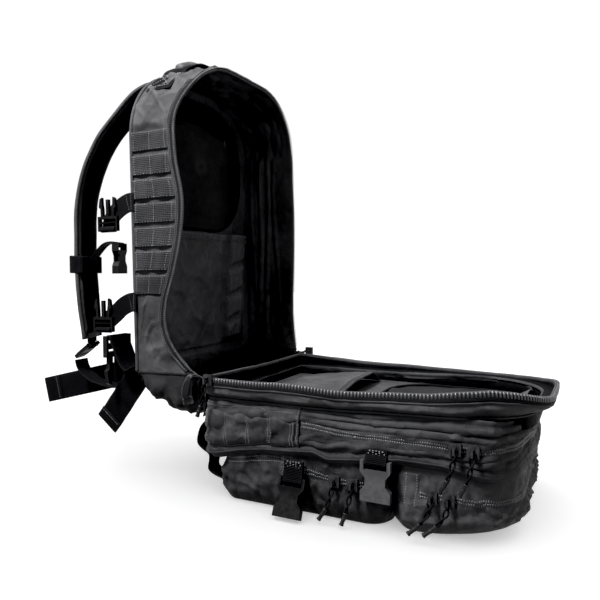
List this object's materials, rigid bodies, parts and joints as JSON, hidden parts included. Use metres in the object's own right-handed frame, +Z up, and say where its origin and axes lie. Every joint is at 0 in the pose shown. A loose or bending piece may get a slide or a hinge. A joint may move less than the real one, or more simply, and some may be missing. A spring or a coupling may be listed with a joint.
{
  "type": "trauma backpack",
  "caption": "Black clamshell trauma backpack lying open: pocket half face down, harness half standing on its fabric hinge, with straps, buckles and zip sliders.",
  "frame": {"origin": "on the floor, at the middle of the pouch row under the lower front pocket that is nearest the pack's middle", "axes": "+X along the pack's length from the hinge to the top end of the pocket half, +Y across its width, +Z up"},
  "size_m": [0.7226, 0.3256, 0.5731],
  "materials": {
    "pack_cloth": "coated 600-denier polyester canvas, black",
    "webbing": "ribbed nylon webbing, black",
    "mesh": "open knitted mesh, black",
    "lining": "smooth nylon lining, dark grey",
    "stiffener": "plain polyethylene sheet",
    "divider_board": "polyethylene board covered in dark grey nylon",
    "buckle_plastic": "moulded acetal, black, satin"
  },
  "bodies": {
    "pocket_half": {"front_gusset": "pack_cloth", "divider_panel": "divider_board", "divider_slip_pocket": "lining", "divider_mesh_pocket": "mesh", "main_zip_front": "webbing", "second_compartment": "pack_cloth", "lower_pocket": "pack_cloth", "upper_pocket": "pack_cloth", "pocket_zips": "webbing", "front_pouch_webbing": "webbing", "bottom_lash_straps": "webbing", "front_buckle_loops": "webbing"},
    "harness_half": {"hinge_gusset": "pack_cloth", "back_gusset": "pack_cloth", "back_panel": "pack_cloth", "frame_sheet": "stiffener", "back_pads": "mesh", "main_zip_back": "webbing", "hydration_sleeve": "lining", "lining_mesh_pocket": "mesh", "side_pouch_webbing": "webbing", "grab_handle": "webbing", "compression_straps": "webbing", "lower_strap_webbing": "webbing"},
    "compression_female_near_upper": {"compression_female_near_upper": "buckle_plastic"},
    "compression_female_near_lower": {"compression_female_near_lower": "buckle_plastic"},
    "compression_male_near_upper": {"compression_male_near_upper": "buckle_plastic"},
    "compression_male_near_lower": {"compression_male_near_lower": "buckle_plastic"},
    "shoulder_strap_near": {"shoulder_strap_near": "pack_cloth"},
    "ladder_lock_near": {"ladder_lock_near": "buckle_plastic"},
    "sternum_webbing_near": {"sternum_webbing_near": "webbing"},
    "compression_female_far_upper": {"compression_female_far_upper": "buckle_plastic"},
    "compression_female_far_lower": {"compression_female_far_lower": "buckle_plastic"},
    "compression_male_far_upper": {"compression_male_far_upper": "buckle_plastic"},
    "compression_male_far_lower": {"compression_male_far_lower": "buckle_plastic"},
    "shoulder_strap_far": {"shoulder_strap_far": "pack_cloth"},
    "ladder_lock_far": {"ladder_lock_far": "buckle_plastic"},
    "sternum_webbing_far": {"sternum_webbing_far": "webbing"},
    "sternum_buckle_female": {"sternum_buckle_female": "buckle_plastic"},
    "sternum_buckle_male": {"sternum_buckle_male": "buckle_plastic"},
    "waist_belt_near": {"waist_belt_near": "webbing"},
    "waist_belt_far": {"waist_belt_far": "webbing"},
    "waist_buckle_male": {"waist_buckle_male": "buckle_plastic"},
    "waist_buckle_female": {"waist_buckle_female": "buckle_plastic"},
    "main_slider_near": {"main_slider_near": "buckle_plastic"},
    "main_pull_near": {"main_pull_near": "buckle_plastic"},
    "main_slider_far": {"main_slider_far": "buckle_plastic"},
    "main_pull_far": {"main_pull_far": "buckle_plastic"},
    "second_slider_rear": {"second_slider_rear": "buckle_plastic"},
    "second_pull_rear": {"second_pull_rear": "buckle_plastic"},
    "second_slider_front": {"second_slider_front": "buckle_plastic"},
    "second_pull_front": {"second_pull_front": "buckle_plastic"},
    "lower_slider_rear": {"lower_slider_rear": "buckle_plastic"},
    "lower_pull_rear": {"lower_pull_rear": "buckle_plastic"},
    "lower_slider_front": {"lower_slider_front": "buckle_plastic"},
    "lower_pull_front": {"lower_pull_front": "buckle_plastic"},
    "upper_slider_rear": {"upper_slider_rear": "buckle_plastic"},
    "upper_pull_rear": {"upper_pull_rear": "buckle_plastic"},
    "upper_slider_front": {"upper_slider_front": "buckle_plastic"},
    "upper_pull_front": {"upper_pull_front": "buckle_plastic"}
  },
  "joints": [
    {"name": "clamshell", "type": "hinge", "parent": "pocket_half", "child": "harness_half", "pos_m": [-0.205, 0, 0.15], "axis": [0, 1, 0], "range_deg": [-68, 91], "deforming": ["hinge_gusset"]},
    {"name": "female_near_upper_swing", "type": "hinge", "parent": "pocket_half", "child": "compression_female_near_upper", "pos_m": [0.029, -0.1421, 0.076], "axis": [-1, 0, 0], "range_deg": [0, 110]},
    {"name": "female_near_lower_swing", "type": "hinge", "parent": "pocket_half", "child": "compression_female_near_lower", "pos_m": [-0.071, -0.1421, 0.042], "axis": [-1, 0, 0], "range_deg": [0, 85]},
    {"name": "male_near_upper_swing", "type": "hinge", "parent": "harness_half", "child": "compression_male_near_upper", "pos_m": [-0.3403, -0.1465, 0.33767], "axis": [0.9998, 0, 0.0175], "range_deg": [0, 105]},
    {"name": "male_near_lower_swing", "type": "hinge", "parent": "harness_half", "child": "compression_male_near_lower", "pos_m": [-0.35097, -0.1465, 0.20446], "axis": [0.9998, 0, 0.0175], "range_deg": [0, 105]},
    {"name": "shoulder_near_swing", "type": "hinge", "parent": "harness_half", "child": "shoulder_strap_near", "pos_m": [-0.327, -0.046, 0.524], "axis": [0, 1, 0], "range_deg": [-10, 8], "deforming": ["lower_strap_webbing"]},
    {"name": "ladder_lock_near_swing", "type": "hinge", "parent": "shoulder_strap_near", "child": "ladder_lock_near", "pos_m": [-0.43412, -0.08499, 0.173], "axis": [-0.342, 0.9397, 0], "range_deg": [-70, 30]},
    {"name": "sternum_near_slide", "type": "slide", "parent": "shoulder_strap_near", "child": "sternum_webbing_near", "axis": [-0.0246, -0.009, 0.9997], "range_m": [-0.02, 0.02]},
    {"name": "female_far_upper_swing", "type": "hinge", "parent": "pocket_half", "child": "compression_female_far_upper", "pos_m": [0.029, 0.1421, 0.076], "axis": [1, 0, 0], "range_deg": [0, 110]},
    {"name": "female_far_lower_swing", "type": "hinge", "parent": "pocket_half", "child": "compression_female_far_lower", "pos_m": [-0.071, 0.1421, 0.042], "axis": [1, 0, 0], "range_deg": [0, 85]},
    {"name": "male_far_upper_swing", "type": "hinge", "parent": "harness_half", "child": "compression_male_far_upper", "pos_m": [-0.3403, 0.1465, 0.33767], "axis": [-0.9998, 0, -0.0175], "range_deg": [0, 105]},
    {"name": "male_far_lower_swing", "type": "hinge", "parent": "harness_half", "child": "compression_male_far_lower", "pos_m": [-0.35097, 0.1465, 0.20446], "axis": [-0.9998, 0, -0.0175], "range_deg": [0, 105]},
    {"name": "shoulder_far_swing", "type": "hinge", "parent": "harness_half", "child": "shoulder_strap_far", "pos_m": [-0.327, 0.046, 0.524], "axis": [0, 1, 0], "range_deg": [-10, 8], "deforming": ["lower_strap_webbing"]},
    {"name": "ladder_lock_far_swing", "type": "hinge", "parent": "shoulder_strap_far", "child": "ladder_lock_far", "pos_m": [-0.43412, 0.08499, 0.173], "axis": [0.342, 0.9397, 0], "range_deg": [-70, 30]},
    {"name": "sternum_far_slide", "type": "slide", "parent": "shoulder_strap_far", "child": "sternum_webbing_far", "axis": [-0.0246, 0.009, 0.9997], "range_m": [-0.02, 0.02]},
    {"name": "sternum_female_swing", "type": "hinge", "parent": "sternum_webbing_near", "child": "sternum_buckle_female", "pos_m": [-0.39278, -0.06994, 0.321], "axis": [-0.342, 0.9397, 0], "range_deg": [-30, 45]},
    {"name": "sternum_male_swing", "type": "hinge", "parent": "sternum_webbing_far", "child": "sternum_buckle_male", "pos_m": [-0.4003, 0.07268, 0.29], "axis": [0.342, 0.9397, 0], "range_deg": [-30, 45]},
    {"name": "waist_belt_near_swing", "type": "hinge", "parent": "harness_half", "child": "waist_belt_near", "pos_m": [-0.304, -0.131, 0.157], "axis": [0, 1, 0], "range_deg": [-18, 2]},
    {"name": "waist_belt_far_swing", "type": "hinge", "parent": "harness_half", "child": "waist_belt_far", "pos_m": [-0.304, 0.05, 0.157], "axis": [0, 1, 0], "range_deg": [-8, 3]},
    {"name": "waist_male_swing", "type": "hinge", "parent": "waist_belt_near", "child": "waist_buckle_male", "pos_m": [-0.343, -0.131, 0.194], "axis": [0, 1, 0], "range_deg": [0, 60]},
    {"name": "waist_female_swing", "type": "hinge", "parent": "waist_belt_far", "child": "waist_buckle_female", "pos_m": [-0.333, 0.05, 0.138], "axis": [0, 1, 0], "range_deg": [-10, 45]},
    {"name": "main_near_slide", "type": "slide", "parent": "pocket_half", "child": "main_slider_near", "axis": [1, 0, 0], "range_m": [0, 0.28]},
    {"name": "main_near_pull_swing", "type": "hinge", "parent": "main_slider_near", "child": "main_pull_near", "pos_m": [-0.185, -0.1532, 0.15], "axis": [-1, 0, 0], "range_deg": [0, 95]},
    {"name": "main_far_slide", "type": "slide", "parent": "pocket_half", "child": "main_slider_far", "axis": [1, 0, 0], "range_m": [0, 0.28]},
    {"name": "main_far_pull_swing", "type": "hinge", "parent": "main_slider_far", "child": "main_pull_far", "pos_m": [-0.185, 0.1532, 0.15], "axis": [1, 0, 0], "range_deg": [0, 95]},
    {"name": "second_rear_slide", "type": "slide", "parent": "pocket_half", "child": "second_slider_rear", "axis": [1, 0, 0], "range_m": [-0.168, 0.005]},
    {"name": "second_rear_pull_swing", "type": "hinge", "parent": "second_slider_rear", "child": "second_pull_rear", "pos_m": [0.113, -0.149, 0.102], "axis": [-1, 0, 0], "range_deg": [0, 95]},
    {"name": "second_front_slide", "type": "slide", "parent": "pocket_half", "child": "second_slider_front", "axis": [1, 0, 0], "range_m": [-0.005, 0.002]},
    {"name": "second_front_pull_swing", "type": "hinge", "parent": "second_slider_front", "child": "second_pull_front", "pos_m": [0.131, -0.149, 0.102], "axis": [-1, 0, 0], "range_deg": [0, 95]},
    {"name": "lower_rear_slide", "type": "slide", "parent": "pocket_half", "child": "lower_slider_rear", "axis": [1, 0, 0], "range_m": [-0.024, 0.009]},
    {"name": "lower_rear_pull_swing", "type": "hinge", "parent": "lower_slider_rear", "child": "lower_pull_rear", "pos_m": [-0.022, -0.143, 0.046], "axis": [-1, 0, 0], "range_deg": [-5, 80]},
    {"name": "lower_front_slide", "type": "slide", "parent": "pocket_half", "child": "lower_slider_front", "axis": [1, 0, 0], "range_m": [-0.009, 0.001]},
    {"name": "lower_front_pull_swing", "type": "hinge", "parent": "lower_slider_front", "child": "lower_pull_front", "pos_m": [0, -0.143, 0.046], "axis": [-1, 0, 0], "range_deg": [-5, 80]},
    {"name": "upper_rear_slide", "type": "slide", "parent": "pocket_half", "child": "upper_slider_rear", "axis": [1, 0, 0], "range_m": [-0.006, 0.005]},
    {"name": "upper_rear_pull_swing", "type": "hinge", "parent": "upper_slider_rear", "child": "upper_pull_rear", "pos_m": [0.088, -0.143, 0.046], "axis": [-1, 0, 0], "range_deg": [-5, 80]},
    {"name": "upper_front_slide", "type": "slide", "parent": "pocket_half", "child": "upper_slider_front", "axis": [1, 0, 0], "range_m": [-0.005, 0.011]},
    {"name": "upper_front_pull_swing", "type": "hinge", "parent": "upper_slider_front", "child": "upper_pull_front", "pos_m": [0.106, -0.143, 0.046], "axis": [-1, 0, 0], "range_deg": [-5, 80]}
  ]
}
